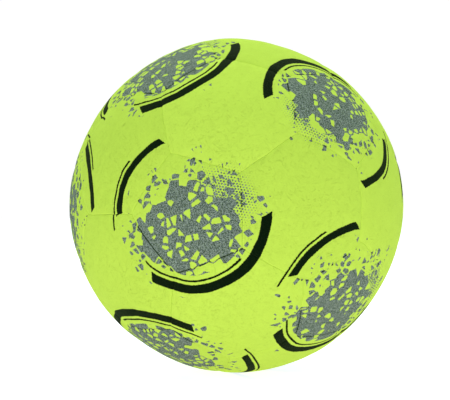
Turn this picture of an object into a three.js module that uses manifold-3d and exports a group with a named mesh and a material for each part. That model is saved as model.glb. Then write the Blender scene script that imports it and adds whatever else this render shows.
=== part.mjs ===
// Indoor football, size 5: thirty-two felt-faced panels stitched edge to edge round an air bladder with a
// needle valve. Millimetres, +Z up, origin at the middle of the ball, valve on the +Y axis.

import * as THREE from 'three';
import { mergeGeometries, mergeVertices, toCreasedNormals } from 'three/addons/utils/BufferGeometryUtils.js';
import Module from 'manifold-3d';

const wasm = await Module();
wasm.setup();

const { PI, sin, cos, tan, asin, atan, atan2, sqrt, hypot, min } = Math;

// The cover
const circumference = 690; // over the crowns of the panels
const layoutSpin = 87.5; // degrees that the seams are turned about the valve's axis, from +Z towards +X
const panelThickness = 4.8; // felt, foam and cloth lining, bonded into one sheet
const panelCrown = 0.5; // how far the middle of a panel stands above its edges
const edgeRoll = 1.6; // radius of the face where it rolls down into a seam
const seamGap = 0.3; // between the two turned-in edges of a seam
const allowanceDepth = 3.1; // how far a turned-in edge stands inside the lining
const allowanceThickness = 1.8; // of a turned-in edge, pressed flat
const allowanceBevel = 1.3; // height of the slope pared on its tip

// The bladder
const clearance = 0.3; // between pieces that touch
const bladderWall = 1.1;

// The valve housing, moulded rubber, bonded to the bladder by its flange
const headRadius = 4.6; // shows in the hole of the valve panel
const headRecess = 0.8; // from the crown of the panel down to the head
const headChamfer = 0.4;
const flangeRadius = 15;
const flangeThickness = 1.4;
const flangeRim = 0.7; // its thickness at the rim
const barrelRadius = 4.6; // hangs inside the bladder
const barrelLength = 11;
const barrelChamfer = 0.8;

// The valve core, a plug pressed into the housing, which the needle passes through
const coreHeadRadius = 3.2;
const coreHeadThickness = 1.4;
const stemRadius = 2.3;
const stemLength = 4.5;
const barbRadius = 2.9; // holds the core in
const barbLength = 2.5;
const billLength = 5; // flattened end, which the air pressure closes
const billThickness = 1.8; // at its tip
const mouthRadius = 1.7; // funnel that guides the needle
const mouthDepth = 1.2;
const needleRadius = 1.1;
const slitLength = 3;
const slitWidth = 0.3;

// The patch of cloth behind the valve panel
const patchRadius = 19;
const patchThickness = 1.2;

// Mesh steps
const sideSteps = 3; // along a side of a panel, and from its middle to its edge
const rollSteps = 2;
const dishSteps = 3; // from the neck to the rim of the flange and the patch
const turnSteps = 24; // round the valve
const bladderDetail = 6;
const overcut = 1; // how far a cutting shape runs past what it cuts
const weldDistance = 1e-3; // points closer than this are one

const pentagonSides = 5;
const hexagonSides = 6;
const seamAngle = 2 * asin(2 / sqrt(58 + 18 * sqrt(5))); // a side of a truncated icosahedron, from its middle

// From the middle of a panel to one of its corners, and to the middle of one of its sides
function cornerAngle(sides) {
	return asin(sin(seamAngle / 2) / sin(PI / sides));
}

function sideAngle(sides) {
	return atan(tan(cornerAngle(sides)) * cos(PI / sides));
}

// Radii from the middle of the ball
const ballRadius = circumference / (2 * PI);
const edgeRadius = ballRadius - panelCrown;
const backRadius = edgeRadius - panelThickness; // at the edge of a lining
const tipRadius = backRadius - allowanceDepth;
const stepAngle = seamAngle / sideSteps;
const halfGap = seamGap / 2;

// The slope on two facing tips leaves a groove, and the stitching lies in it
const slope = allowanceThickness / allowanceBevel;
const slopeClearance = clearance * hypot(1, slope);
const threadHalfWidth = halfGap + allowanceThickness - slopeClearance;
const threadTopRadius = tipRadius + threadHalfWidth / slope;

// The flange and the patch lie between the bladder and the lining
const facetSag = backRadius * (1 - cos(stepAngle / sqrt(3)));
const patchCrownDrop = panelCrown * (patchRadius / (backRadius * sideAngle(hexagonSides))) ** 2;
const patchTop = ballRadius - panelThickness - patchCrownDrop - facetSag - clearance;
const patchBottom = patchTop - patchThickness;
const bladderRadius = min(
	tipRadius * cos(stepAngle / 2) - clearance,
	patchBottom - clearance - flangeThickness - clearance,
);
const flangeBottom = bladderRadius + clearance;
const headTop = ballRadius - headRecess;

// The outline of a panel whose middle is on +Y, drawn on a sphere of the given radius and inset from the
// seams. It returns the point at a share, 0 to 1, of one side.
function outline(sides, inset, radius) {
	const half = PI / sides;
	const middle = sideAngle(sides);
	const reach = cos(middle) * cos(half);
	const corner = cornerAngle(sides) - asin(inset / radius / hypot(reach, sin(middle)));
	const arcRadius = sqrt(radius ** 2 - inset ** 2);
	const arcEnd = asin(radius * sin(corner) * sin(half) / arcRadius);
	return (side, share) => {
		const turn = (2 * side + 1) * half;
		const outward = new THREE.Vector3(sin(middle) * sin(turn), cos(middle), sin(middle) * cos(turn));
		const across = new THREE.Vector3(cos(middle) * sin(turn), -sin(middle), cos(middle) * cos(turn));
		const along = new THREE.Vector3(cos(turn), 0, -sin(turn));
		const arc = arcEnd * (2 * share - 1);
		return across.multiplyScalar(-inset)
			.addScaledVector(outward, arcRadius * cos(arc))
			.addScaledVector(along, arcRadius * sin(arc));
	};
}

// Points and triangles, collected into one surface
class Surface {
	points = [];
	triangles = [];

	addPoint(point) {
		return this.points.push(point) - 1;
	}

	// One closed ring of points along an outline, and where it starts
	addRing(sides, inset, radius) {
		const edge = outline(sides, inset, radius);
		const start = this.points.length;
		for (let side = 0; side < sides; side++) {
			for (let step = 0; step < sideSteps; step++) this.addPoint(edge(side, step / sideSteps));
		}
		return start;
	}

	// A wall between each ring and the next. Listed from a panel's face inwards, it faces the seam.
	addWalls(sides, starts) {
		const count = sides * sideSteps;
		for (let level = 1; level < starts.length; level++) {
			for (let i = 0; i < count; i++) {
				const next = (i + 1) % count;
				const above = starts[level - 1];
				const below = starts[level];
				this.triangles.push([above + i, below + i, above + next]);
				this.triangles.push([above + next, below + i, below + next]);
			}
		}
	}

	// A domed face that fills a ring, as a triangular lattice in each sector
	addDome(sides, ring, inset, middleRadius, rimRadius, facesOut) {
		const rim = outline(sides, inset, rimRadius);
		const starts = [this.addPoint(new THREE.Vector3(0, middleRadius, 0))];
		for (let level = 1; level < sideSteps; level++) {
			const share = level / sideSteps;
			const radius = middleRadius - (middleRadius - rimRadius) * share ** 2;
			starts.push(this.points.length);
			for (let side = 0; side < sides; side++) {
				for (let step = 0; step < level; step++) {
					const inner = rim(side, step / level).multiplyScalar(share);
					inner.y += (1 - share) * rimRadius;
					this.addPoint(inner.setLength(radius));
				}
			}
		}
		starts.push(ring);
		const vertex = (level, side, step) => starts[level] + (level && (side * level + step) % (sides * level));
		const add = (a, b, c) => this.triangles.push(facesOut ? [a, b, c] : [a, c, b]);
		for (let side = 0; side < sides; side++) {
			for (let level = 1; level <= sideSteps; level++) {
				for (let step = 0; step < level; step++) {
					const near = vertex(level - 1, side, step);
					const far = vertex(level, side, step + 1);
					add(near, vertex(level, side, step), far);
					if (step < level - 1) add(near, far, vertex(level - 1, side, step + 1));
				}
			}
		}
	}

	geometry() {
		const geometry = new THREE.BufferGeometry().setFromPoints(this.points);
		geometry.setIndex(this.triangles.flat());
		return geometry;
	}
}

// One panel: a domed face, edges that roll down into the seam and turn in, and the lining
function panelGeometry(sides) {
	const surface = new Surface();
	const faceInset = halfGap + edgeRoll;
	const liningInset = halfGap + allowanceThickness;
	const rings = [];
	for (let step = 0; step <= rollSteps; step++) {
		const roll = PI / 2 * step / rollSteps;
		const inset = faceInset - edgeRoll * sin(roll);
		rings.push(surface.addRing(sides, inset, edgeRadius - edgeRoll * (1 - cos(roll))));
	}
	rings.push(surface.addRing(sides, halfGap, tipRadius + allowanceBevel));
	rings.push(surface.addRing(sides, liningInset, tipRadius));
	rings.push(surface.addRing(sides, liningInset, backRadius));
	surface.addWalls(sides, rings);
	surface.addDome(sides, rings[0], faceInset, ballRadius, edgeRadius, true);
	surface.addDome(sides, rings.at(-1), liningInset, ballRadius - panelThickness, backRadius, false);
	return surface.geometry();
}

// The stitching round one panel. Its ends are open: the next panel's share closes it along the seam.
function stitchingGeometry(sides) {
	const surface = new Surface();
	surface.addWalls(sides, [
		surface.addRing(sides, 0, tipRadius),
		surface.addRing(sides, threadHalfWidth, tipRadius),
		surface.addRing(sides, 0, threadTopRadius),
	]);
	return surface.geometry();
}

// The same surface with its positions alone, each shared by the triangles that meet there
function welded(geometry) {
	const bare = geometry.clone();
	bare.deleteAttribute('normal');
	bare.deleteAttribute('uv');
	return mergeVertices(bare, weldDistance);
}

// A closed solid that can be cut and joined
function solid(geometry) {
	const { attributes, index } = welded(geometry);
	return new wasm.Manifold(new wasm.Mesh({
		numProp: 3,
		vertProperties: new Float32Array(attributes.position.array),
		triVerts: new Uint32Array(index.array),
	}));
}

function cutGeometry(manifold) {
	const mesh = manifold.getMesh();
	const geometry = new THREE.BufferGeometry();
	geometry.setAttribute('position', new THREE.BufferAttribute(mesh.vertProperties, 3));
	geometry.setIndex(new THREE.BufferAttribute(mesh.triVerts, 1));
	return geometry;
}

// A round hole along +Y, from the bottom up
function holeCutter(radius, bottom, top) {
	const length = top - bottom;
	const cylinder = new THREE.CylinderGeometry(radius, radius, length, turnSteps);
	return solid(cylinder.translate(0, bottom + length / 2, 0));
}

// Half the section of a round dish on the +Y axis, from its inner to its outer radius
function dishSide(innerRadius, outerRadius, innerSphere, outerSphere) {
	return Array.from({ length: dishSteps + 1 }, (_, step) => {
		const radius = innerRadius + (outerRadius - innerRadius) * step / dishSteps;
		const sphere = innerSphere + (outerSphere - innerSphere) * step / dishSteps;
		return new THREE.Vector2(radius, sqrt(sphere ** 2 - radius ** 2));
	});
}

// A piece turned about +Y from half its section, listed anticlockwise. A section clear of the axis is a loop.
function turned(section) {
	const isLoop = section.at(-1).x > 0;
	return new THREE.LatheGeometry(isLoop ? [...section, section[0]] : section, turnSteps);
}

function at(radius, height) {
	return new THREE.Vector2(radius, height);
}

// The bores of the housing fit the core
const seatRadius = coreHeadRadius + clearance;
const neckRadius = stemRadius + clearance;
const cavityRadius = barbRadius + clearance;
const coreHeadBottom = headTop - coreHeadThickness;
const barbTop = coreHeadBottom - stemLength;
const barbBottom = barbTop - barbLength;
const billBottom = barbBottom - billLength;

function valveHousingGeometry() {
	const barrelBottom = flangeBottom - barrelLength;
	return turned([
		at(cavityRadius, barrelBottom),
		at(barrelRadius - barrelChamfer, barrelBottom),
		at(barrelRadius, barrelBottom + barrelChamfer),
		...dishSide(barrelRadius, flangeRadius, flangeBottom, flangeBottom),
		...dishSide(headRadius, flangeRadius, flangeBottom + flangeThickness, flangeBottom + flangeRim).reverse(),
		at(headRadius, headTop - headChamfer),
		at(headRadius - headChamfer, headTop),
		at(seatRadius, headTop),
		at(seatRadius, coreHeadBottom - clearance),
		at(neckRadius, coreHeadBottom - clearance),
		at(neckRadius, barbTop + clearance),
		at(cavityRadius, barbTop + clearance),
	]);
}

function valveCoreGeometry() {
	const body = solid(turned([
		at(0, billBottom),
		at(stemRadius, billBottom),
		at(stemRadius, barbBottom),
		at(barbRadius, barbTop),
		at(stemRadius, barbTop),
		at(stemRadius, coreHeadBottom),
		at(coreHeadRadius, coreHeadBottom),
		at(coreHeadRadius, headTop),
		at(mouthRadius, headTop),
		at(needleRadius, headTop - mouthDepth),
		at(needleRadius, barbBottom),
		at(0, barbBottom),
	]));
	const lean = atan((stemRadius - billThickness / 2) / billLength);
	const flatLength = billLength / cos(lean) + overcut;
	const flat = new THREE.BoxGeometry(2 * stemRadius + overcut, flatLength, stemRadius)
		.translate(0, flatLength / 2 - overcut, stemRadius / 2)
		.rotateX(lean)
		.translate(0, billBottom, billThickness / 2);
	const slitHeight = billLength + 2 * overcut;
	const slit = new THREE.BoxGeometry(slitLength, slitHeight, slitWidth)
		.translate(0, billBottom + slitHeight / 2 - overcut, 0);
	return cutGeometry(body
		.subtract(solid(flat))
		.subtract(solid(flat.clone().rotateY(PI)))
		.subtract(solid(slit)));
}

function valvePatchGeometry() {
	return turned([
		...dishSide(headRadius + clearance, patchRadius, patchBottom, patchBottom),
		...dishSide(headRadius + clearance, patchRadius, patchTop, patchTop).reverse(),
	]);
}

function bladderGeometry() {
	const outside = solid(new THREE.IcosahedronGeometry(bladderRadius, bladderDetail));
	const inside = solid(new THREE.IcosahedronGeometry(bladderRadius - bladderWall, bladderDetail));
	const neck = holeCutter(barrelRadius + clearance, 0, bladderRadius + overcut);
	return cutGeometry(outside.subtract(inside).subtract(neck));
}

// Materials
const felt = { color: 0xc6e956, roughness: 0.95, metalness: 0 };
const polyesterThread = { color: 0xe4e2d8, roughness: 0.7, metalness: 0 };
const canvas = { color: 0xd8d2c2, roughness: 0.9, metalness: 0 };
const butylRubber = { color: 0x1c1d1e, roughness: 0.6, metalness: 0 };
const valveRubber = { color: 0x26282a, roughness: 0.55, metalness: 0 };

function piece(name, geometry, finish) {
	const creaseAngle = PI / 6;
	const mesh = new THREE.Mesh(toCreasedNormals(geometry, creaseAngle), new THREE.MeshStandardMaterial(finish));
	mesh.name = name;
	return mesh;
}

// The panels' places: a pentagon at each corner of an icosahedron, a hexagon on each of its faces
const icosahedron = welded(new THREE.IcosahedronGeometry(1, 0));
const corners = Array.from(
	{ length: icosahedron.attributes.position.count },
	(_, i) => new THREE.Vector3().fromBufferAttribute(icosahedron.attributes.position, i),
);
const faces = Array.from(
	{ length: icosahedron.index.count / 3 },
	(_, i) => [0, 1, 2].map((k) => corners[icosahedron.index.getX(3 * i + k)]),
);

// Turns a panel's middle from +Y to a new direction, with one of its corners towards a second direction
function aim(mesh, middle, towards, turn) {
	const y = middle.clone().normalize();
	const x = y.clone().cross(towards).normalize();
	const z = x.clone().cross(y);
	mesh.quaternion.setFromRotationMatrix(new THREE.Matrix4().makeBasis(x, y, z));
	mesh.rotateY(turn);
	return mesh;
}

const twoDigits = (number) => String(number).padStart(2, '0');
const pentagon = panelGeometry(pentagonSides);
const hexagon = panelGeometry(hexagonSides);
const valveHole = holeCutter(headRadius + clearance, 0, ballRadius + overcut);
const valveHexagon = cutGeometry(solid(hexagon).subtract(valveHole));

const pentagonPanels = corners.map((corner, i) => {
	const neighbour = faces.find((face) => face.includes(corner)).find((other) => other !== corner);
	return aim(piece(`pentagon_panel_${twoDigits(i + 1)}`, pentagon, felt), corner, neighbour, 0);
});
const hexagonPanels = faces.map((face, i) => {
	const middle = new THREE.Vector3().add(face[0]).add(face[1]).add(face[2]);
	const name = i ? `hexagon_panel_${twoDigits(i)}` : 'valve_panel';
	return aim(piece(name, i ? hexagon : valveHexagon, felt), middle, face[0], PI / hexagonSides);
});

// All the stitching is one thread, since the seams meet at every corner
function seamThreadGeometry() {
	const sharesOf = (sides, panels) => {
		const share = stitchingGeometry(sides);
		return panels.map((panel) => share.clone().applyQuaternion(panel.quaternion));
	};
	const shares = [...sharesOf(pentagonSides, pentagonPanels), ...sharesOf(hexagonSides, hexagonPanels)];
	return welded(mergeGeometries(shares));
}

// The cover is turned so that the valve panel faces +Y
const cover = new THREE.Group();
cover.add(...pentagonPanels, ...hexagonPanels, piece('seam_thread', seamThreadGeometry(), polyesterThread));
const valveAxis = new THREE.Vector3(0, 1, 0);
const valveMiddle = valveAxis.clone().applyQuaternion(hexagonPanels[0].quaternion);
cover.quaternion.setFromUnitVectors(valveMiddle, valveAxis);
const landmark = faces[0][0].clone().applyQuaternion(cover.quaternion);
cover.rotateOnWorldAxis(valveAxis, THREE.MathUtils.degToRad(layoutSpin) - atan2(landmark.x, landmark.z));

const ball = new THREE.Group();
ball.add(
	cover,
	piece('bladder', bladderGeometry(), butylRubber),
	piece('valve_housing', valveHousingGeometry(), valveRubber),
	piece('valve_core', valveCoreGeometry(), valveRubber),
	piece('valve_patch', valvePatchGeometry(), canvas),
);

export default ball;
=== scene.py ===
from functools import reduce
from itertools import combinations
from math import asin, atan, cos, hypot, pi, radians, sin, sqrt, tan

import bpy
import numpy as np
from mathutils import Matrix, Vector


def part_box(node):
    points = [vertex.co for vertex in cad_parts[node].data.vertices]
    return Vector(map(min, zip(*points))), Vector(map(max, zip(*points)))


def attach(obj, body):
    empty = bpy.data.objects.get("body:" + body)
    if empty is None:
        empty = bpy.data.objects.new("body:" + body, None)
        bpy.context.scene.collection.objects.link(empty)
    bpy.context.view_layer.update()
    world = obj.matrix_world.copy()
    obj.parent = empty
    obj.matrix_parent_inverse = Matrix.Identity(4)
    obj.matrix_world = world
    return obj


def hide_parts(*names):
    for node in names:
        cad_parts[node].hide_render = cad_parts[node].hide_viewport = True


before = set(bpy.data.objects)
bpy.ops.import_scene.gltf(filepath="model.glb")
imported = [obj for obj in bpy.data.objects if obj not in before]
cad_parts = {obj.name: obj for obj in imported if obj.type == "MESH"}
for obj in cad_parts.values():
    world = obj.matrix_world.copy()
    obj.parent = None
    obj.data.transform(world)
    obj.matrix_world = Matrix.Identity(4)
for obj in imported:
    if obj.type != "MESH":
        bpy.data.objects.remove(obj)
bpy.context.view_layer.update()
mm = 0.001  # shapes are worked out in millimetres and made in metres
print("frame loaded:", len(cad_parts), "nodes")


# One output of a shader node. A sum on wires adds Math nodes.
class Wire:
    def __init__(self, tree, socket=None):
        self.tree = tree
        self.socket = socket

    # Adds a node: its settings first, then a value or a wire for each input
    def node(self, kind, settings=None, inputs=None, output=0):
        made = self.tree.nodes.new("ShaderNode" + kind)
        for name, value in (settings or {}).items():
            setattr(made, name, value)
        for name, value in (inputs or {}).items():
            socket = pick(made.inputs, name)
            if isinstance(value, Wire):
                self.tree.links.new(value.socket, socket)
            else:
                socket.default_value = value
        return Wire(self.tree, pick(made.outputs, output) if made.outputs else None)

    def out(self, name):
        return Wire(self.tree, pick(self.socket.node.outputs, name))

    def math(self, operation, *others):
        return self.node("Math", {"operation": operation}, dict(enumerate((self, *others))))

    def vector(self, operation, *others):
        inputs = {0: self, "Scale": others[0]} if operation == "SCALE" else dict(enumerate((self, *others)))
        isNumber = operation in ("LENGTH", "DISTANCE")
        return self.node("VectorMath", {"operation": operation}, inputs, "Value" if isNumber else "Vector")

    def __add__(self, other):
        return self.math("ADD", other)

    def __sub__(self, other):
        return self.math("SUBTRACT", other)

    def __rsub__(self, other):
        return self.node("Math", {"operation": "SUBTRACT"}, {0: other, 1: self})

    def __mul__(self, other):
        return self.math("MULTIPLY", other)

    def __truediv__(self, other):
        return self.math("DIVIDE", other)

    def __rtruediv__(self, other):
        return self.node("Math", {"operation": "DIVIDE"}, {0: other, 1: self})

    def __abs__(self):
        return self.math("ABSOLUTE")

    def __lt__(self, other):
        return self.math("LESS_THAN", other)

    def __gt__(self, other):
        return self.math("GREATER_THAN", other)

    __radd__ = __add__
    __rmul__ = __mul__

    # Goes smoothly from 0 to 1 as this wire goes from start to end
    def rise(self, start, end):
        inputs = {"Value": self, "From Min": start, "From Max": end}
        return self.node("MapRange", {"interpolation_type": "SMOOTHSTEP"}, inputs)

    # The second colour laid over the first, as thick as this wire says
    def cover(self, first, second):
        return self.node("Mix", {"data_type": "RGBA"}, {"Factor": self, "A": first, "B": second}, "Result")

    # Cloudy numbers between 0 and 1 about as far apart as size
    def noise(self, size, detail=2.0, roughness=0.5, **settings):
        inputs = {"Vector": self, "Scale": 1 / size, "Detail": detail, "Roughness": roughness}
        return self.node("TexNoise", settings, inputs)


def pick(sockets, name):
    if isinstance(name, int):
        return sockets[name]
    return next(s for s in sockets if s.enabled and name in (s.name, s.identifier))


# A material with one shader. What is the same all over is set on the shader's own sockets.
def newFinish(name, constants):
    material = bpy.data.materials.new(name)
    material.use_nodes = True
    tree = material.node_tree
    tree.nodes.clear()
    shader = Wire(tree).node("BsdfPrincipled", None, constants)
    Wire(tree).node("OutputMaterial", None, {"Surface": shader})
    return material, Wire(tree), shader.socket.node


def plug(shader, wires):
    for name, wire in wires.items():
        wire.tree.links.new(wire.socket, shader.inputs[name])


def bumped(height, depth):
    return height.node("Bump", None, {"Height": height, "Strength": 1.0, "Distance": depth * mm})


# Places in millimetres: anywhere in the ball, or on a panel's face from the middle of its print
def placeInBall(wire):
    return wire.node("TexCoord", output="Object").vector("SCALE", 1 / mm)


def placeInPrint(wire):
    return wire.node("UVMap", {"uv_map": printMap["name"]}).vector("SCALE", printMap["size"])


# The layout of the panels: a pentagon at each corner of an icosahedron, a hexagon on each of its faces
layout = {
    "spin": 87.5,  # degrees that the seams are turned about the valve, from +Z towards +X
    # three pentagons in each ring about the valve: degrees from the valve, and round it
    "rings": [(37.377368, 0), (79.187683, 60), (100.812317, 0), (142.622632, 60)],
    "nearness": 0.4,  # least dot product of the middles of two pentagons with one seam between them
}


def direction(tilt, turn):
    return np.array([sin(tilt) * sin(turn), cos(tilt), sin(tilt) * cos(turn)])


def unit(vectors):
    return vectors / np.linalg.norm(vectors, axis=-1, keepdims=True)


pentagonMiddles = [
    direction(radians(tilt), radians(layout["spin"] + turn + 120 * third))
    for tilt, turn in layout["rings"]
    for third in range(3)
]


# The middles of the five pentagons nearest to one, in order round it
def neighbours(i):
    middle = pentagonMiddles[i]
    nearby = [m for k, m in enumerate(pentagonMiddles) if k != i and m @ middle > layout["nearness"]]
    along = nearby[0] - middle * (nearby[0] @ middle)
    side = np.cross(middle, along)
    return sorted(nearby, key=lambda m: np.arctan2(m @ side, m @ along))


hexagonCorners = [
    three
    for three in combinations(pentagonMiddles, 3)
    if all(first @ second > layout["nearness"] for first, second in combinations(three, 2))
]
print("layout:", len(pentagonMiddles), "pentagons,", len(hexagonCorners), "hexagons")

# The cover, in millimetres
cover = {
    "circumference": 690,
    "thickness": 4.8,
    "crown": 0.5,  # how far a lining's middle stands above its edges
    "edgeDrops": [(0.3, 3.6), (0.3, 1.6)],  # how far a face falls towards its seams, over what distance
    "rollWidth": 0.35,  # the felt's edge where it turns down into the seam
    "rollDepth": 0.2,
    "gap": 0.015,  # from a pressed edge to the middle of its seam
    "seamShadingWidth": 0.8,  # painted light and shade: the print is darker and the felt lighter this close to a seam
    "stitches": 8,  # along one seam
    "stitchPull": 0.16,  # depth of the dimple at a stitch, and how far it reaches
    "stitchReach": 1.4,
    "cornerPull": 0.25,  # the same where three seams meet
    "cornerReach": 3.0,
    "wanders": [(0.42, 24), (0.13, 8)],  # how far the seams stray from true, and over what length
    "wanderSeeds": (1, 2, 3),
    "ripple": 0.07,  # unevenness of the faces
    "rippleLength": 15,
    "rippleSeed": 4,
    "lump": 0.6,  # how far out of round the ball is
    "lumpLength": 95,
    "lumpSeed": 5692,
    "feltDepth": 3,  # the unevenness dies out over this height, down to the edge of a lining
    "calmValve": (10, 26),  # none nearer to the valve's middle than the first, all beyond the second
    "calmFloor": (6, 46),  # and the same about the place where the ball stands
    "insets": [7.0, 5.4, 4.1, 3.1, 2.3, 1.7, 1.2, 0.8],  # the mesh rings of a face, closer towards its edge
    "rollSteps": 5,  # mesh steps round the edge
    "steps": 32,  # mesh steps along one side of a panel
}

# The edge turned in along each seam. The lining's dome begins at its root.
hem = {"depth": 3.1, "thickness": 1.8, "bevel": 1.3, "gap": 0.15, "root": 5.2}
ballRadius = cover["circumference"] / (2 * pi)
backRadius = ballRadius - cover["crown"] - cover["thickness"]
tipRadius = backRadius - hem["depth"]
seamAngle = 2 * asin(2 / sqrt(58 + 18 * sqrt(5)))


def cornerAngle(sides):
    return asin(sin(seamAngle / 2) / sin(pi / sides))


def sideAngle(sides):
    return atan(tan(cornerAngle(sides)) * cos(pi / sides))


# For each side of a panel whose middle is on +Y: towards its middle, square to its seam, and along it
def sideAxes(sides):
    middle = sideAngle(sides)
    for side in range(sides):
        turn = (2 * side + 1) * pi / sides
        outward = direction(middle, turn)
        across = np.array([cos(middle) * sin(turn), -sin(middle), cos(middle) * cos(turn)])
        yield outward, across, np.array([cos(turn), 0, -sin(turn)])


# One closed ring, set back from the seams by inset
def ringAt(sides, inset, radius):
    half = pi / sides
    middle = sideAngle(sides)
    corner = cornerAngle(sides) - asin(inset / radius / hypot(cos(middle) * cos(half), sin(middle)))
    arcRadius = sqrt(radius**2 - inset**2)
    arcEnd = asin(radius * sin(corner) * sin(half) / arcRadius)
    arcs = arcEnd * (2 * np.arange(cover["steps"]) / cover["steps"] - 1)[:, None]
    return np.concatenate([
        outward * arcRadius * np.cos(arcs) + along * arcRadius * np.sin(arcs) - across * inset
        for outward, across, along in sideAxes(sides)
    ])


# How high the felt stands in each direction: it falls to the seams, is pulled in at each stitch and dips
# where three seams meet
def faceRadius(sides, directions):
    fall = np.ones((len(cover["edgeDrops"]), len(directions)))
    pull = np.zeros(len(directions))
    for outward, across, along in sideAxes(sides):
        inset = -ballRadius * np.arcsin(np.clip(directions @ across, -1, 1))
        share = np.arctan2(directions @ along, directions @ outward) / seamAngle + 0.5
        for level, (_, distance) in enumerate(cover["edgeDrops"]):
            fall[level] *= 1 - np.exp(-np.maximum(inset, 0) / distance)
        stitch = 0.5 + 0.5 * np.cos(2 * pi * cover["stitches"] * share)
        pull += cover["stitchPull"] * stitch * np.exp(-np.maximum(inset, 0) / cover["stitchReach"])
    for corner in range(sides):
        away = ballRadius * np.linalg.norm(
            directions - direction(cornerAngle(sides), 2 * pi * corner / sides), axis=1
        )
        pull += cover["cornerPull"] * np.exp(-(away / cover["cornerReach"]) ** 2)
    drops = np.array([drop for drop, _ in cover["edgeDrops"]])
    return ballRadius - drops @ (1 - fall) - pull


# 1 at a seam, 0 from the rim's width inwards: the share of painted seam shade and light
def seamShadingShare(sides, places):
    directions = unit(places)
    insets = [-ballRadius * np.arcsin(directions @ across) for _, across, _ in sideAxes(sides)]
    return np.clip(1 - np.min(insets, axis=0) / cover["seamShadingWidth"], 0, 1)


# The hole punched for the valve, its soft rim, and the mesh rings from the panel's edge to it
valveHole = {"radius": 4.9, "rollWidth": 0.9, "rollDepth": 0.8, "rings": 18}


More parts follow.
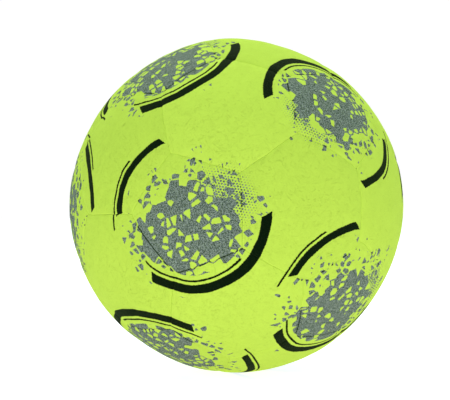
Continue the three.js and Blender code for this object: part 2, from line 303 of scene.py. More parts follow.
# One panel with its middle on +Y: felt face, rolled edge, hem and lining. Each quad knows which corner of
# the panel it is nearest, and whether it is lining.
class PanelShape:
    def __init__(self, sides, hasHole=False):
        self.sides = sides
        self.points = []
        self.quads = []
        self.corners = []
        self.isLining = []
        self.rollIn()
        if hasHole:
            self.punchHole()
        else:
            self.fillDome(self.rings[0], lambda d: faceRadius(self.sides, d), False)
            self.fillDome(self.rings[-1], lambda d: faceRadius(self.sides, d) - cover["thickness"], True)

    def addPoints(self, places):
        start = len(self.points)
        self.points.extend(places)
        return list(range(start, len(self.points)))

    def addQuad(self, quad, corner, isLining):
        self.quads.append(quad)
        self.corners.append(corner)
        self.isLining.append(isLining)

    def addWall(self, above, below, isLining):
        steps = cover["steps"]
        for i in range(len(above)):
            j = (i + 1) % len(above)
            corner = (i + steps // 2) // steps % self.sides
            self.addQuad((above[i], below[i], below[j], above[j]), corner, isLining)

    # From the felt's face over its edge, down the seam, round the hem and up to the lining
    def rollIn(self):
        gap = cover["gap"]
        sides = self.sides
        profile = [(inset, 0) for inset in cover["insets"]]
        for step in range(cover["rollSteps"] + 1):
            roll = pi / 2 * step / cover["rollSteps"]
            inset = gap + cover["rollWidth"] * (1 - sin(roll))
            profile.append((inset, cover["rollDepth"] * (1 - cos(roll))))
        self.rings = []
        for inset, drop in profile:
            directions = unit(ringAt(sides, inset, ballRadius))
            radius = faceRadius(sides, directions) - drop
            self.rings.append(self.addPoints(directions * radius[:, None]))
        felts = len(self.rings)
        lining = hem["gap"] + hem["thickness"]
        for inset, radius in [
            (0.5 * (gap + hem["gap"]), 0.5 * (ballRadius + backRadius)),
            (hem["gap"], backRadius),
            (hem["gap"], tipRadius + hem["bevel"]),
            (lining, tipRadius),
            (lining, backRadius),
        ]:
            self.rings.append(self.addPoints(ringAt(sides, inset, radius)))
        directions = unit(ringAt(sides, hem["root"], backRadius))
        radius = faceRadius(sides, directions) - cover["thickness"]
        self.rings.append(self.addPoints(directions * radius[:, None]))
        for level in range(1, len(self.rings)):
            self.addWall(self.rings[level - 1], self.rings[level], level > felts)

    # A domed face in one patch of quads for each corner
    def fillDome(self, ring, radiusOf, isLining):
        steps = cover["steps"]
        half = steps // 2
        sides = self.sides
        top = np.array([0.0, 1.0, 0.0])
        rim = unit(np.array([self.points[i] for i in ring]))

        def place(directions):
            directions = unit(directions)
            return self.addPoints(directions * radiusOf(directions)[:, None])

        middle = place(top[None, :])[0]
        shares = (np.arange(1, half) / half)[:, None]
        spokes = []
        for side in range(sides):
            end = side * steps + half
            spokes.append([middle, *place(top + shares * (rim[end] - top)), ring[end]])
        for corner in range(sides):
            before, after = spokes[corner - 1], spokes[corner]
            first = (corner * steps - half) % len(ring)
            grid = [[None] * (half + 1) for _ in range(half + 1)]
            for k in range(half + 1):
                grid[k][0] = before[k]
                grid[0][k] = after[k]
                grid[half][k] = ring[(first + k) % len(ring)]
                grid[k][half] = ring[(corner * steps + half - k) % len(ring)]
            known = {i: unit(np.array(self.points[i])) for row in grid for i in row if i is not None}
            for a in range(1, half):
                u = a / half
                row = []
                for b in range(1, half):
                    v = b / half
                    across = (1 - u) * known[grid[0][b]] + u * known[grid[half][b]]
                    down = (1 - v) * known[grid[a][0]] + v * known[grid[a][half]]
                    flat = (1 - u) * ((1 - v) * known[middle] + v * known[grid[0][half]])
                    flat = flat + u * ((1 - v) * known[grid[half][0]] + v * known[grid[half][half]])
                    row.append(across + down - flat)
                grid[a][1:half] = place(np.array(row))
            for a in range(half):
                for b in range(half):
                    quad = (grid[a][b], grid[a + 1][b], grid[a + 1][b + 1], grid[a][b + 1])
                    self.addQuad(quad[::-1] if isLining else quad, corner, isLining)

    # The valve panel's face and lining run in to a round hole with a soft rim
    def punchHole(self):
        hole = valveHole
        sides = self.sides
        face = [unit(np.array([self.points[i] for i in ring])) for ring in (self.rings[0], self.rings[-1])]
        turns = np.arctan2(face[0][:, 0], face[0][:, 2])
        rims = []
        for step in range(cover["rollSteps"] + 1):
            roll = pi / 2 * step / cover["rollSteps"]
            radius = hole["radius"] + hole["rollWidth"] * (1 - sin(roll))
            rims.append((radius, hole["rollDepth"] * (1 - cos(roll))))

        def circle(radius):
            tilt = radius / ballRadius
            level = np.full(len(turns), cos(tilt))
            return np.stack([sin(tilt) * np.sin(turns), level, sin(tilt) * np.cos(turns)], 1)

        above = self.rings[0]
        for ring in range(1, hole["rings"]):
            share = ring / hole["rings"]
            directions = unit(face[0] + share * (circle(rims[0][0]) - face[0]))
            inner = self.addPoints(directions * faceRadius(sides, directions)[:, None])
            self.addWall(inner, above, False)
            above = inner
        for radius, drop in rims:
            directions = circle(radius)
            height = faceRadius(sides, directions) - drop
            inner = self.addPoints(directions * height[:, None])
            self.addWall(inner, above, False)
            above = inner
        rim = above
        outer = self.rings[-1]
        for ring in range(1, hole["rings"] + 1):
            share = ring / hole["rings"]
            directions = unit(face[1] + share * (circle(hole["radius"]) - face[1]))
            radius = faceRadius(sides, directions) - cover["thickness"]
            inner = self.addPoints(directions * radius[:, None])
            self.addWall(outer, inner, True)
            outer = inner
        self.addWall(outer, rim, False)


# A smooth uneven pattern, seldom outside -1 and 1, the same on each run
def unevenness(places, length, seed):
    waves, highSum = 7, 3
    random = np.random.default_rng(seed)
    pattern = np.zeros(len(places))
    for _ in range(waves):
        heading = unit(random.normal(size=3))
        wave = length * random.uniform(0.7, 1.4)
        pattern += np.sin(places @ heading * 2 * pi / wave + random.uniform(0, 2 * pi))
    return pattern / highSum


# The seams wander a little, the faces are uneven and the ball isn't quite round. All of it dies out below
# the felt and round the valve, and the lumps also where the ball touches the floor.
def handStitched(places):
    radius = np.linalg.norm(places, axis=1)
    outward = places / radius[:, None]
    far = 2 * ballRadius
    fromValve = np.hypot(places[:, 0], places[:, 2]) + far * (places[:, 1] < 0)
    fromFloor = np.hypot(places[:, 0], places[:, 1]) + far * (places[:, 2] > 0)
    fade = np.interp(radius - backRadius, (0, cover["feltDepth"]), (0, 1))
    fade = fade * np.interp(fromValve, cover["calmValve"], (0, 1))
    moves = sum(
        amount * np.stack([unevenness(places, length, seed) for seed in cover["wanderSeeds"]], 1)
        for amount, length in cover["wanders"]
    )
    moves -= outward * np.sum(moves * outward, axis=1, keepdims=True)
    lumps = cover["lump"] * unevenness(places, cover["lumpLength"], cover["lumpSeed"])
    lumps = lumps * np.interp(fromFloor, cover["calmFloor"], (0, 1))
    lift = cover["ripple"] * unevenness(places, cover["rippleLength"], cover["rippleSeed"]) + lumps
    return places + (moves + outward * lift[:, None]) * fade[:, None]


# The print is laid out about each pentagon, on that pentagon's own square of one map. A panel is cut and
# sewn a little off true, so its print meets the next panel's a little to one side.
printMap = {
    "name": "print",
    "size": 100,  # millimetres of the ball to one unit of the map
    "squares": 10,  # units from one pentagon's square to the next
    "turns": [0, 3, 1, 2, 4, 0, 1, 3, 2, 4, 1, 0],  # which neighbour each pentagon's print faces
    "misfit": 0.7,  # how far off true a panel's print can be
    "firstSeed": 39,  # of the panels' random numbers
}
printAxes = []
for i, middle in enumerate(pentagonMiddles):
    facing = neighbours(i)[printMap["turns"][i]]
    along = unit(facing - middle * (facing @ middle))
    printAxes.append((middle, along, np.cross(along, middle)))


def printPlaces(directions, owners, misfit):
    middles, alongs, acrosses = (np.array([printAxes[k][axis] for k in owners]) for axis in range(3))
    angle = np.arccos(np.clip(np.sum(directions * middles, axis=1), -1, 1))
    flat = np.stack([np.sum(directions * alongs, axis=1), np.sum(directions * acrosses, axis=1)], 1)
    flat = flat / np.maximum(np.linalg.norm(flat, axis=1, keepdims=True), 1e-9) * angle[:, None] * ballRadius
    flat = (flat + misfit) / printMap["size"]
    flat[:, 0] += printMap["squares"] * np.array(owners)
    return flat


sharpAngle = radians(38)  # edges that turn more than this look sharp


def newMesh(name, points, faces, materials, body="root"):
    mesh = bpy.data.meshes.new(name)
    mesh.from_pydata((np.array(points) * mm).tolist(), [], faces)
    for material in materials:
        mesh.materials.append(material)
    mesh.polygons.foreach_set("use_smooth", [True] * len(faces))
    mesh.set_sharp_from_angle(angle=sharpAngle)
    made = bpy.data.objects.new(name, mesh)
    bpy.context.scene.collection.objects.link(made)
    if body:
        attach(made, body)
    return made


# The node of this kind whose box lies most nearly in a direction
def nodeAt(middle, kind):
    def nearness(name):
        low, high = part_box(name)
        return ((low + high) / 2).normalized() @ Vector(middle)
    return max((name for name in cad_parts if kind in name), key=nearness)


# Where the axes of a shape made on +Y go, so that its middle is in a new direction, and its first corner
# lies that far round from towards
def turnedAxes(middle, towards, turn):
    x = unit(np.cross(middle, towards))
    first = np.cross(x, middle) * cos(turn) + x * sin(turn)
    return np.stack([np.cross(middle, first), middle, first])


def addPanel(name, shape, axes, number):
    places = np.array(shape.points) @ axes
    directions = unit(places)
    turns = [2 * pi * corner / shape.sides for corner in range(shape.sides)]
    corners = np.array([direction(cornerAngle(shape.sides), angle) for angle in turns]) @ axes
    owners = [int(np.argmax(np.array(pentagonMiddles) @ corner)) for corner in corners]
    made = newMesh(name, handStitched(places), shape.quads, [feltCover, liningCloth])
    mesh = made.data
    mesh.polygons.foreach_set("material_index", [int(lining) for lining in shape.isLining])
    loops = np.array(shape.quads).ravel()
    owner = np.repeat([owners[k] for k in shape.corners], 4)
    random = np.random.default_rng(printMap["firstSeed"] + number)
    misfit = random.uniform(-1, 1, 2) * printMap["misfit"]
    # The rim attribute carries the painted shade and light along the seams to the felt finish
    rim = mesh.attributes.new("rim", "FLOAT", "POINT")
    rim.data.foreach_set("value", seamShadingShare(shape.sides, np.array(shape.points)))
    nap = mesh.attributes.new("nap", "FLOAT", "POINT")
    nap.data.foreach_set("value", np.full(len(shape.points), random.uniform(-1, 1)))
    layer = mesh.uv_layers.new(name=printMap["name"])
    layer.data.foreach_set("uv", printPlaces(directions[loops], owner, misfit).ravel())
    return made


# The felt, in millimetres. A noise has a size, a detail and a roughness.
felt = {
    "bright": (0.60, 0.76, 0.084, 1),
    "deep": (0.485, 0.63, 0.066, 1),
    "grain": (0.55, 2, 0.6),  # noises: the tufts, larger lumps, and clouds over a whole panel
    "lump": (3.2, 2, 0.5),
    "cloud": (26, 3, 0.55),
    "stray": (0.8, 2, 0.6),  # what bends the fibres and the printed edges, and what bends the creases
    "curl": (7.0, 2, 0.5),
    "fibreBend": 1.6,
    "creaseBend": 14,
    "fibre": (1.9, 0.11),  # length and width of a stroke
    "crease": (7.0, 0.7),
    "fibreRise": (0.53, 0.72),  # where a stroke begins in its noise, and where it is full
    "creaseRise": (0.63, 0.78),
    "strokeTurns": ((0.3, 0.2, 0.4), (0.4, 0.1, 1.9), (0.2, 1.7, 0.6)),  # how each layer of strokes lies
    "lint": 9.0,  # from one dark fleck to the next
    "lintRadius": 0.33,
    "nap": 0.22,  # how unlike in tone the panels are
    # what each lends to the tone, and how far it lifts the face. The rim, ridge and dent tones are painted
    # light and shade: lighter felt at the seams and on crease ridges, darker in the dents.
    "tones": {
        "cloud": 0.35, "grain": 0.25, "fibre": 0.4, "lump": 0.3, "litRidge": 0.3, "rim": 0.45, "shadedDent": -0.6,
        "lint": -1.2,
    },
    "lifts": {"fibre": 0.045, "grain": 0.045, "lump": 0.25, "shadedDent": -0.25},
}

# The print, in millimetres: grey patches of chips, set off by black arcs
ink = {
    "greyLight": (0.265, 0.298, 0.258, 1),
    "greyDark": (0.015, 0.028, 0.018, 1),
    "black": (0.0012, 0.0065, 0.0018, 1),
    "speck": (0.7, 2, 0.7),  # the noise that parts the light specks in the grey from the dark
    "speckRise": (0.36, 0.54),
    "speckFibre": 0.2,  # share of the specks that lie along the fibres
    "bareRise": (0.42, 0.6),  # fibres that took no ink lie over the print, and hide this much of it
    "bareGrey": 0.4,
    "bareBlack": 0.02,
    "seamShadeGrey": 0.8,  # painted shade at a seam: how much of its light specks the grey loses there, and where it goes black
    "seamShadeBlack": (0.45, 1.0),
    "fuzz": 1.12,  # how far the printed edges stray
    "reach": 58,  # nothing is printed further out from a pentagon's middle
    "reachFade": 10,
    "apart": (83.0, 57.0),  # sets off the chips of one pentagon from the next one's
    "patch": (-10.0, -2.0),  # middle of the grey patch
    "patchRadius": 31.2,
    "scatterRadius": 58,
    "drift": 26,  # how unevenly the patch's edge runs, and the noise that it follows
    "driftNoise": (20, 1),
    # size, how much further out they lie, and the largest share that is printed
    "chips": [(4.7, 0, 1.0), (3.0, 5, 0.25)],
    "bareShare": 0.46,  # of the chips in the patch
    "looseShare": 0.62,  # of those round it
    # what is left of a chip inside its edge: least, how much that varies, and how much less where they crowd
    "bareEdge": (0.6, 0.45),
    "looseEdge": (0.95, 0.4, 0.3),
    "dot": 1.8,  # from one dot to the next in the fringe
    "dotRadius": 0.65,
    "dotsMiddle": (1.0, 21.0),
    "dotsFade": (27, 8.1),  # none beyond the first, full size within the second
    "dotsDrift": 0.6,  # of the patch's drift
    "margin": 3.0,  # kept clear between grey and black
    "blur": 0.15,
    "slant": 0.0022,  # turns that an arc's end gains with each millimetre across it
    # radius, start and sweep in turns, half width
    "arcs": [
        (46.5, 0.31, 0.34, 3.0),
        (41.0, 0.42, 0.26, 0.65),
        (48.0, 0.80, 0.19, 2.4),
        (52.6, 0.77, 0.14, 0.65),
    ],
}


def most(wires):
    return reduce(lambda first, second: first.math("MAXIMUM", second), wires)


def total(weights, wires):
    return reduce(lambda first, second: first + second, [wires[name] * weights[name] for name in weights])


# Three numbers from -0.5 to 0.5 that change as a noise does
def stray(place, noise):
    return place.noise(*noise).out("Color").vector("SUBTRACT", (0.5, 0.5, 0.5))


# A grid of dots in rows: the middle of the nearest dot, and how far it is
def dotGrid(flat, pitch):
    spacing = (pitch, pitch * sqrt(3), 1)
    scaled = flat.vector("DIVIDE", spacing)
    first = scaled.vector("ADD", (0.5, 0.5, 0)).vector("FLOOR").vector("MULTIPLY", spacing)
    second = scaled.vector("FLOOR").vector("ADD", (0.5, 0.5, 0)).vector("MULTIPLY", spacing)
    fromFirst = flat.vector("DISTANCE", first)
    fromSecond = flat.vector("DISTANCE", second)
    inputs = {"Factor": fromSecond < fromFirst, "A": first, "B": second}
    middle = flat.node("Mix", {"data_type": "VECTOR"}, inputs, "Result")
    return middle, fromFirst.math("MINIMUM", fromSecond)


# Flat angular chips of uneven size: the middle of a chip, its random numbers, and how far in from its edge
def chipGrid(flat, size):
    settings = {"voronoi_dimensions": "2D", "feature": "F1"}
    inputs = {"Vector": flat, "Scale": 1 / size}
    chip = flat.node("TexVoronoi", settings, inputs, "Position")
    chance = chip.node("SeparateColor", None, {0: chip.out("Color")})
    edge = flat.node("TexVoronoi", {**settings, "feature": "DISTANCE_TO_EDGE"}, inputs, "Distance") * size
    return chip, chance, chance.out("Green"), edge


# Strokes in three layers, each lying roughly one way: 1 along the middle of a stroke
def strokes(place, size, limits):
    length, width = size
    layers = []
    for rotation in felt["strokeTurns"]:
        inputs = {"Vector": place, "Rotation": rotation, "Scale": (length, width, width)}
        stretched = place.node("Mapping", {"vector_type": "TEXTURE"}, inputs)
        layers.append(stretched.noise(1, 1).rise(*limits))
    return layers


# The place from the middle of the pentagon whose print this is, and the number of that pentagon's square
def placeOnPrint(wire, straying):
    place = placeInPrint(wire)
    pitch = printMap["size"] * printMap["squares"]
    square = (place.node("SeparateXYZ", None, {0: place}, "X") / pitch).math("ROUND")
    back = square.node("CombineXYZ", None, {"X": square * -pitch})
    return place.vector("ADD", back).vector("ADD", straying).vector("MULTIPLY", (1, 1, 0)), square


# Black arcs, their ends cut on a slant, and the margin that is kept clear along them
def arcInk(flat):
    x = flat.node("SeparateXYZ", None, {0: flat}, "X")
    turn = x.out("Y").math("ARCTAN2", x) / (2 * pi) + 1
    radius = flat.vector("LENGTH")
    bars = []
    margins = []
    for arcRadius, start, sweep, halfWidth in ink["arcs"]:
        away = radius - arcRadius
        isAlong = (turn + away * ink["slant"] - start).math("FRACT") < sweep
        bars.append(abs(away).rise(halfWidth + ink["blur"], halfWidth - ink["blur"]) * isAlong)
        margins.append((abs(away) < halfWidth + ink["margin"]) * isAlong)
    return most(bars), most(margins)


# Grey chips: some are left bare in the patch, and round it they thin out. A fringe of dots lies along one
# side.
def chipInk(flat, square):
    across, along = ink["apart"]
    apart = square.node("CombineXYZ", None, {"X": square * across, "Y": square * along})
    moved = flat.vector("ADD", apart)
    bareEdge, bareVaries = ink["bareEdge"]
    looseEdge, looseVaries, looseCrowds = ink["looseEdge"]

    def drift(place):
        return (place.noise(*ink["driftNoise"]) - 0.5) * ink["drift"]

    grey = []
    inPatch = None
    for size, further, limit in ink["chips"]:
        chip, chance, other, edge = chipGrid(moved, size)
        fromMiddle = chip.vector("SUBTRACT", apart)
        fromPatch = fromMiddle.vector("DISTANCE", (*ink["patch"], 0)) + drift(chip)
        scatter = fromPatch.rise(ink["scatterRadius"] + further, ink["patchRadius"])
        scatter = scatter * fromMiddle.vector("LENGTH").rise(ink["reach"], ink["reach"] - ink["reachFade"])
        isPrinted = chance < (scatter * scatter * ink["looseShare"]).math("MINIMUM", limit)
        loose = isPrinted * (edge > looseEdge - scatter * looseCrowds + other * looseVaries)
        if inPatch is None:
            inPatch = fromPatch < ink["patchRadius"]
            border = (bareEdge + other * bareVaries) * (fromPatch < ink["patchRadius"] - size)
            isBare = (chance < ink["bareShare"]) * (edge > border)
            grey.append(inPatch * (1 - isBare))
        grey.append((1 - inPatch) * loose)
    dot, fromDot = dotGrid(flat, ink["dot"])
    fromDots = dot.vector("DISTANCE", (*ink["dotsMiddle"], 0))
    fromDots = fromDots + drift(dot.vector("ADD", apart)) * ink["dotsDrift"]
    dotRadius = fromDots.rise(*ink["dotsFade"]) * ink["dotRadius"]
    grey.append((fromDot < dotRadius) * (dot.vector("LENGTH") < ink["reach"]) * (1 - inPatch))
    return most(grey)


def feltFinish():
    material, wire, shader = newFinish("feltCover", {
        "Roughness": 0.9, "Specular IOR Level": 0.02, "Sheen Weight": 0.05, "Sheen Roughness": 0.5,
        "Sheen Tint": (0.8, 1.0, 0.3, 1),
    })
    place = placeInBall(wire)
    straying = stray(place, felt["stray"])
    bent = place.vector("ADD", straying.vector("SCALE", felt["fibreBend"]))
    curled = place.vector("ADD", stray(place, felt["curl"]).vector("SCALE", felt["creaseBend"]))
    fibres = strokes(bent, felt["fibre"], felt["fibreRise"])
    creases = strokes(curled, felt["crease"], felt["creaseRise"])
    fleck = {"Vector": place, "Scale": 1 / felt["lint"]}
    fromFleck = place.node("TexVoronoi", {"feature": "F1"}, fleck, "Distance") * felt["lint"]
    looks = {
        "cloud": place.noise(*felt["cloud"]),
        "grain": place.noise(*felt["grain"]),
        "fibre": most(fibres),
        "lump": place.noise(*felt["lump"]),
        # Crease strokes: painted light on the ridges, painted shade in the dents
        "litRidge": creases[2],
        "shadedDent": most(creases[:2]),
        "lint": fromFleck < felt["lintRadius"],
        # The rim mask: painted light on the felt and painted shade on the print along the seams
        "rim": wire.node("Attribute", {"attribute_name": "rim"}, None, "Fac"),
    }
    nap = wire.node("Attribute", {"attribute_name": "nap"}, None, "Fac")
    tone = total(felt["tones"], looks) + nap * felt["nap"]
    yellow = tone.cover(felt["deep"], felt["bright"])

    flat, square = placeOnPrint(wire, straying.vector("SCALE", ink["fuzz"]))
    black, margin = arcInk(flat)
    grey = chipInk(flat, square) * (1 - margin)
    bare = fibres[2] * looks["grain"].rise(*ink["bareRise"])
    speck = place.noise(*ink["speck"]) * (1 - ink["speckFibre"]) + looks["fibre"] * ink["speckFibre"]
    speck = speck.rise(*ink["speckRise"])
    # Painted shade: near a seam the grey print loses its light specks and turns black
    greyInk = (speck * (1 - looks["rim"] * ink["seamShadeGrey"])).cover(ink["greyDark"], ink["greyLight"])
    greyInk = looks["rim"].rise(*ink["seamShadeBlack"]).cover(greyInk, ink["black"])
    colour = (grey * (1 - bare * ink["bareGrey"])).cover(yellow, greyInk)
    colour = (black * (1 - bare * ink["bareBlack"])).cover(colour, ink["black"])
    plug(shader, {"Base Color": colour, "Normal": bumped(total(felt["lifts"], looks), 1.0)})
    return material


# A plain weave: threads go over and under across a flat place in millimetres
def weave(flat, pitch):
    x = flat.node("SeparateXYZ", None, {0: flat}, "X")
    y = x.out("Y") * (pi / pitch)
    x = x * (pi / pitch)
    over = x.math("SINE") * y.math("SINE")
    crown = abs(x.math("COSINE")).math("MAXIMUM", abs(y.math("COSINE")))
    return over.rise(*cloth["rise"]), crown


cloth = {
    # a thread's pitch in millimetres, and the tones of a thread on top and of one beneath, which is painted
    # darker as shade
    "kinds": {
        "liningCloth": {"thread": 0.55, "light": (0.82, 0.81, 0.77, 1), "dark": (0.6, 0.59, 0.55, 1)},
        "canvas": {"thread": 0.8, "light": (0.74, 0.7, 0.6, 1), "dark": (0.5, 0.46, 0.38, 1)},
    },
    "rise": (-0.6, 0.6),  # how one thread gives way to the other
    "slub": (3, 3, 0.6),  # a noise, its size in threads
    "depth": 0.25,  # of the weave, in threads
    # Painted shade: the lower thread and the gaps between threads are darker; the slub is the thread's own
    # tone
    "tones": {"over": 0.4, "crown": 0.25, "slub": 0.35},
    "lifts": {"over": 0.5, "crown": 0.5},
}


def clothFinish(name, flatOf):
    kind = cloth["kinds"][name]
    material, wire, shader = newFinish(name, {"Roughness": 0.85, "Sheen Weight": 0.1})
    over, crown = weave(flatOf(wire), kind["thread"])
    slub, detail, roughness = cloth["slub"]
    slubs = placeInBall(wire).noise(kind["thread"] * slub, detail, roughness)
    looks = {"over": over, "crown": crown, "slub": slubs}
    plug(shader, {
        "Base Color": total(cloth["tones"], looks).cover(kind["dark"], kind["light"]),
        "Normal": bumped(total(cloth["lifts"], looks), kind["thread"] * cloth["depth"]),
    })
    return material


# The rubbers, in millimetres. The dust is what shows in the patches where it has settled.
rubber = {
    "kinds": {
        "valveRubber": {
            "clean": (0.02, 0.021, 0.022, 1), "dusty": (0.06, 0.062, 0.06, 1), "roughness": 0.45,
        },
        "coreRubber": {
            "clean": (0.03, 0.031, 0.032, 1), "dusty": (0.075, 0.076, 0.074, 1), "roughness": 0.37,
        },
        "butylRubber": {
            "clean": (0.012, 0.012, 0.013, 1), "dusty": (0.10, 0.10, 0.095, 1), "roughness": 0.5,
        },
    },
    "dust": (6, 4, 0.65),
    "dustRise": (0.5, 0.85),
    "grain": (0.22, 2, 0.6),
    "grainDepth": 0.03,
    "tones": {"dust": 0.6, "grain": 0.15},
    "roughening": {"dust": 0.25, "grain": 0.1},
}


def rubberFinish(name):
    kind = rubber["kinds"][name]
    material, wire, shader = newFinish(name, {"Specular IOR Level": 0.4})
    place = placeInBall(wire)
    looks = {
        "dust": place.noise(*rubber["dust"]).rise(*rubber["dustRise"]),
        "grain": place.noise(*rubber["grain"]),
    }
    plug(shader, {
        "Base Color": total(rubber["tones"], looks).cover(kind["clean"], kind["dusty"]),
        "Roughness": total(rubber["roughening"], looks) + kind["roughness"],
        "Normal": bumped(looks["grain"], rubber["grainDepth"]),
    })
    return material


# The thread, in millimetres
thread = {
    "light": (0.82, 0.81, 0.77, 1),
    "dark": (0.62, 0.6, 0.54, 1),
    "twists": 0.9,  # to a millimetre, and how unevenly they run
    "unevenness": 2.0,
    "twistDepth": 0.1,
    "wax": 1.5,
    # Painted shade: the twist's grooves are darker than its crests; the wax is the thread's own tone
    "tones": {"twist": 0.6, "wax": 0.4},
}


def threadFinish():
    material, wire, shader = newFinish("waxedThread", {"Roughness": 0.5, "Sheen Weight": 0.1})
    place = placeInBall(wire)
    inputs = {"Vector": place, "Scale": thread["twists"], "Distortion": thread["unevenness"], "Detail": 2.0}
    twist = place.node("TexWave", {"bands_direction": "DIAGONAL"}, inputs, "Fac")
    shade = total(thread["tones"], {"twist": twist, "wax": place.noise(thread["wax"])})
    plug(shader, {
        "Base Color": shade.cover(thread["dark"], thread["light"]),
        "Normal": bumped(twist, thread["twistDepth"]),
    })
    return material


# The patch lies square to +Y
def placeOnPatch(wire):
    place = placeInBall(wire)
    x = place.node("SeparateXYZ", None, {0: place}, "X")
    return place.node("CombineXYZ", None, {"X": x, "Y": x.out("Z")})


feltCover = feltFinish()
liningCloth = clothFinish("liningCloth", placeInPrint)
for nodeName, finish in {
    "seam_thread": threadFinish(),
    "bladder": rubberFinish("butylRubber"),
    "valve_patch": clothFinish("canvas", placeOnPatch),
}.items():
    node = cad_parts[nodeName]
    node.data.materials.clear()
    node.data.materials.append(finish)
print("finishes made")

pentagonShape = PanelShape(5)
hexagonShape = PanelShape(6)
valveShape = PanelShape(6, hasHole=True)
panelShapes = (pentagonShape, hexagonShape, valveShape)
print("panel shapes made:", [len(shape.quads) for shape in panelShapes], "quads")

for i, middle in enumerate(pentagonMiddles):
    piece = addPanel(f"feltPentagon{i + 1:02}", pentagonShape, turnedAxes(middle, neighbours(i)[0], 0), i)
    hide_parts(nodeAt(middle, "pentagon_panel"))
valveAxis = np.array([0.0, 1.0, 0.0])
hexagonMiddles = [unit(sum(three)) for three in hexagonCorners]
valveNumber = int(np.argmax(np.array(hexagonMiddles) @ valveAxis))
for i, middle in enumerate(hexagonMiddles):
    isValve = i == valveNumber
    name = "feltHexagonValve" if isValve else f"feltHexagon{i + (i < valveNumber):02}"
    shape = valveShape if isValve else hexagonShape
    axes = turnedAxes(middle, hexagonCorners[i][0], pi / 6)
    piece = addPanel(name, shape, axes, len(pentagonMiddles) + i)
    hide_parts("valve_panel" if isValve else nodeAt(middle, "hexagon_panel"))
print("panels placed")

# The valve, in millimetres. Heights are measured from the middle of the ball.
valve = {
    "headTop": ballRadius - 0.8,
    "headRadius": 4.6,
    "headRound": 0.4,
    "flangeRadius": 15,
    "flangeThickness": 1.4,
    "flangeRim": 0.7,
    "barrelRadius": 4.6,
    "barrelLength": 11,
    "barrelRound": 0.8,
    "fit": 0.3,  # between the core and its housing
    "seatRound": 0.15,
    "coreRadius": 3.2,
    "coreRound": 0.3,
    "coreThickness": 1.4,
    "stemRadius": 2.3,
    "stemLength": 4.5,
    "barbRadius": 2.9,
    "barbLength": 2.5,
    "billLength": 5,
    "billThickness": 1.8,
    "billSteps": 4,  # mesh steps down the bill
    "mouthRound": 0.2,
    "mouthRadius": 1.7,
    "mouthDepth": 1.2,
    "needleRadius": 1.1,
    "slitLength": 3,
    "slitWidth": 0.3,
    "steps": 72,
}
valve["flangeBottom"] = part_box("valve_housing")[0].y / mm + valve["barrelLength"]
valve["coreBottom"] = valve["headTop"] - valve["coreThickness"]
valve["barbTop"] = valve["coreBottom"] - valve["stemLength"]
valve["billTop"] = valve["barbTop"] - valve["barbLength"]


# A rounded corner of a section, from one heading to another
def roundedCorner(radius, height, roundness, start, end, steps=4):
    turns = [radians(start + (end - start) * step / steps) for step in range(steps + 1)]
    return [(radius + roundness * cos(t), height + roundness * sin(t)) for t in turns]


# A closed loop of radius and height, turned about +Y
def turnedMesh(name, section, material, shapeIt=None):
    steps = valve["steps"]
    points = []
    for radius, height in section:
        for step in range(steps):
            turn = 2 * pi * step / steps
            point = [radius * sin(turn), height, radius * cos(turn)]
            points.append(shapeIt(point, radius) if shapeIt else point)
    faces = []
    for level in range(len(section)):
        above = level * steps
        below = (level + 1) % len(section) * steps
        for step in range(steps):
            after = (step + 1) % steps
            faces.append((above + step, above + after, below + after, below + step))
    return newMesh(name, points, faces, [material])


def onSphere(sphere, inner, outer, steps=8):
    radii = [inner + (outer - inner) * step / steps for step in range(steps + 1)]
    return [(radius, sqrt(sphere**2 - radius**2)) for radius in radii]


def housingSection():
    v = valve
    fit = v["fit"]
    headTop = v["headTop"]
    bottom = v["flangeBottom"] - v["barrelLength"]
    cavity = v["barbRadius"] + fit
    seat = v["coreRadius"] + fit
    neck = v["stemRadius"] + fit
    top = v["flangeBottom"] + v["flangeThickness"]
    thinning = (v["flangeThickness"] - v["flangeRim"]) / (v["flangeRadius"] - v["headRadius"])
    upper = [
        (radius, height - thinning * (radius - v["headRadius"]))
        for radius, height in onSphere(top, v["headRadius"], v["flangeRadius"])
    ]
    barrelEdge = v["barrelRadius"] - v["barrelRound"]
    headEdge = v["headRadius"] - v["headRound"]
    return [
        (cavity, bottom),
        *roundedCorner(barrelEdge, bottom + v["barrelRound"], v["barrelRound"], -90, 0),
        *onSphere(v["flangeBottom"], v["barrelRadius"], v["flangeRadius"]),
        *reversed(upper),
        *roundedCorner(headEdge, headTop - v["headRound"], v["headRound"], 0, 90),
        *roundedCorner(seat + v["seatRound"], headTop - v["seatRound"], v["seatRound"], 90, 180, 3),
        (seat, v["coreBottom"] - fit),
        (neck, v["coreBottom"] - fit),
        (neck, v["barbTop"] + fit),
        (cavity, v["barbTop"] + fit),
    ]


def coreSection():
    v = valve
    top = v["headTop"]
    coreEdge = v["coreRadius"] - v["coreRound"]
    mouthEdge = v["mouthRadius"] + v["mouthRound"]
    shares = [step / v["billSteps"] for step in range(v["billSteps"] + 1)]
    billHeights = [v["billTop"] - v["billLength"] * share for share in shares]
    return [
        *[(v["stemRadius"], height) for height in reversed(billHeights)],
        (v["barbRadius"], v["barbTop"]),
        (v["stemRadius"], v["barbTop"]),
        (v["stemRadius"], v["coreBottom"]),
        (v["coreRadius"], v["coreBottom"]),
        *roundedCorner(coreEdge, top - v["coreRound"], v["coreRound"], 0, 90),
        *roundedCorner(mouthEdge, top - v["mouthRound"], v["mouthRound"], 90, 150, 3),
        (v["needleRadius"], top - v["mouthDepth"]),
        *[(v["needleRadius"], height) for height in billHeights],
    ]


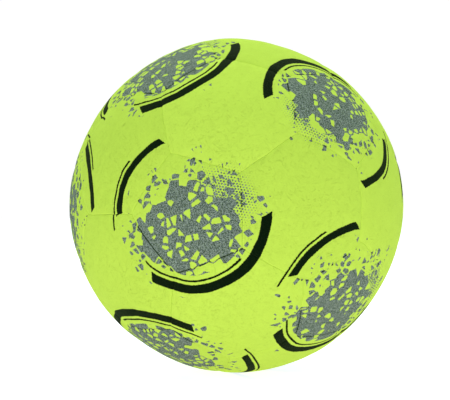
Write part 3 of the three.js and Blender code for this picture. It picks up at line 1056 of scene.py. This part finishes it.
# The bill is flattened outside and slit inside, and the air in the ball presses it shut
def flattenBill(point, radius):
    share = max(0, (valve["billTop"] - point[1]) / valve["billLength"])
    if radius > valve["needleRadius"]:
        point[2] *= 1 - share * (1 - valve["billThickness"] / 2 / valve["stemRadius"])
    else:
        point[0] *= 1 + share * (valve["slitLength"] / 2 / valve["needleRadius"] - 1)
        point[2] *= 1 - share * (1 - valve["slitWidth"] / 2 / valve["needleRadius"])
    return point


housing = turnedMesh("valveHousingMoulded", housingSection(), rubberFinish("valveRubber"))
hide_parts("valve_housing")
core = turnedMesh("valveCorePlug", coreSection(), rubberFinish("coreRubber"), flattenBill)
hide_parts("valve_core")
print("valve made")

# The set: a pale floor that the ball stands on, white light all round, most of it from above, and soft lamps
# in front and behind
studio = {
    "floorRings": [0.05, 0.2, 0.5, 1, 2, 3.5, 5],
    "floorSpokes": 96,
    "floorDark": (0.5, 0.5, 0.5, 1),
    "floorLight": (0.56, 0.56, 0.56, 1),
    "floorMottle": (60, 3),
    "floorGlow": (0.79, 0.82, 0.9, 1),  # the floor is a frosted sheet, lit from below
    "backdrop": (1.02, 1.02, 1.02, 1),  # what shows behind the ball
    "sideLight": (0.18, 0.27, 0.27, 1),
    "topLight": (0.89, 1.16, 1.16, 1),
    "lightRise": (0.1, 0.75),  # heights in the sky between which one turns into the other
    # place, size, watts, aimed at the ball's middle
    "lamps": [
        ((-0.8, -1.95, 0.1), 1.3, 11.2),
        ((0.8, 1.95, 0.1), 1.3, 3),
        ((0.42, 1.0, 1.9), 1.6, 28),
    ],
}


def floorFinish():
    material, wire, shader = newFinish("paleFloor", {
        "Roughness": 0.7, "Specular IOR Level": 0.2,
        "Emission Color": studio["floorGlow"], "Emission Strength": 1.0,
    })
    mottle = placeInBall(wire).noise(*studio["floorMottle"])
    plug(shader, {"Base Color": mottle.cover(studio["floorDark"], studio["floorLight"])})
    return material


def addFloor():
    rings = studio["floorRings"]
    spokes = studio["floorSpokes"]
    points = [(0, 0, -ballRadius)]
    for ring in rings:
        for s in range(spokes):
            turn = 2 * pi * s / spokes
            points.append((ring / mm * sin(turn), ring / mm * cos(turn), -ballRadius))
    faces = [(0, 1 + (s + 1) % spokes, 1 + s) for s in range(spokes)]
    for level in range(1, len(rings)):
        inner, outer = 1 + (level - 1) * spokes, 1 + level * spokes
        for s in range(spokes):
            after = (s + 1) % spokes
            faces.append((inner + s, inner + after, outer + after, outer + s))
    floor = newMesh("floor", points, faces, [floorFinish()], body=None)


addFloor()
world = bpy.data.worlds.new("surround")
world.use_nodes = True
sky = Wire(world.node_tree).node("TexCoord", output="Generated")
height = sky.node("SeparateXYZ", None, {0: sky}, "Z")
light = height.rise(*studio["lightRise"]).cover(studio["sideLight"], studio["topLight"])
surround = sky.node("LightPath", output="Is Camera Ray").cover(light, studio["backdrop"])
world.node_tree.links.new(surround.socket, world.node_tree.nodes["Background"].inputs["Color"])
bpy.context.scene.world = world
for number, (place, size, power) in enumerate(studio["lamps"], 1):
    lamp = bpy.data.lights.new(f"softLamp{number}", "AREA")
    lamp.shape = "DISK"
    lamp.size = size
    lamp.energy = power
    holder = bpy.data.objects.new(f"softLamp{number}", lamp)
    holder.location = place
    holder.rotation_euler = (-Vector(place)).to_track_quat("-Z", "Y").to_euler()
    bpy.context.scene.collection.objects.link(holder)

# The camera, about level with the ball's middle, placed as the seams in the photograph lie
lens = {
    "distance": 820.95,  # from the ball's middle
    "turn": -22.589,  # degrees round the ball from -Y, and up
    "lift": 0.588,
    "focal": 98.65,
    "shiftX": -0.02469,
    "shiftY": 0.01333,
}
camera = bpy.data.objects.new("camera", bpy.data.cameras.new("camera"))
turn, lift = radians(lens["turn"]), radians(lens["lift"])
back = Vector((sin(turn) * cos(lift), -cos(turn) * cos(lift), sin(lift)))
camera.location = back * lens["distance"] * mm
camera.rotation_euler = (-back).to_track_quat("-Z", "Y").to_euler()
camera.data.lens = lens["focal"]
camera.data.shift_x = lens["shiftX"]
camera.data.shift_y = lens["shiftY"]
bpy.context.scene.collection.objects.link(camera)
bpy.context.scene.camera = camera
bpy.context.scene.view_settings.view_transform = "Standard"
print("floor, light and camera set")
